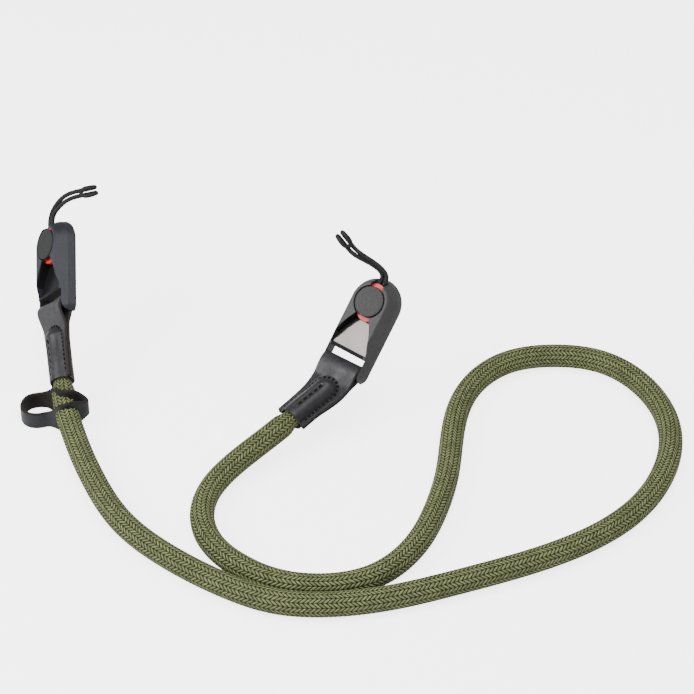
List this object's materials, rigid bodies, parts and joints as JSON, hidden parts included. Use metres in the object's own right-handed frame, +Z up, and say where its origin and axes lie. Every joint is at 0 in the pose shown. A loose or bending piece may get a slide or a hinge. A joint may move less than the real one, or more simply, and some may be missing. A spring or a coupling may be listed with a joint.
{
  "type": "rope neck strap with quick-release ends",
  "caption": "Braided rope neck strap with leather end tabs, plastic quick-release connectors, cord lug loops and a sliding leather keeper, laid in a loose S.",
  "frame": {"origin": "middle of the right-hand lug loop, where the strap hangs on its lug; the surface that the rope lies on is 76 mm below", "axes": "+Z up, +X along the line from the left-hand lug towards the right-hand one as seen from the front, -Y towards the viewer"},
  "size_m": [0.3049, 0.2151, 0.0798],
  "materials": {
    "braided_cord_olive": "fine olive braid over a rope core",
    "leather_black": "smooth black leather with a faint sheen, sewn in black",
    "plastic_grey": "moulded dark grey plastic, finely textured",
    "plastic_gloss_black": "polished black plastic",
    "disc_grey": "moulded grey plastic, satin",
    "disc_red": "coral red plastic",
    "cord_black": "fine black braided cord"
  },
  "bodies": {
    "root": {"rope": "braided_cord_olive", "leather_tab_right": "leather_black", "leather_tab_left": "leather_black", "connector_housing_right": "plastic_grey", "connector_housing_left": "plastic_grey", "release_ramp_right": "plastic_gloss_black", "release_ramp_left": "plastic_gloss_black", "anchor_ring_right": "disc_red", "anchor_ring_left": "disc_red", "anchor_disc_right": "disc_grey", "anchor_disc_left": "disc_grey", "lug_cord_right": "cord_black", "lug_cord_left": "cord_black", "keeper_loop": "leather_black"}
  },
  "joints": []
}
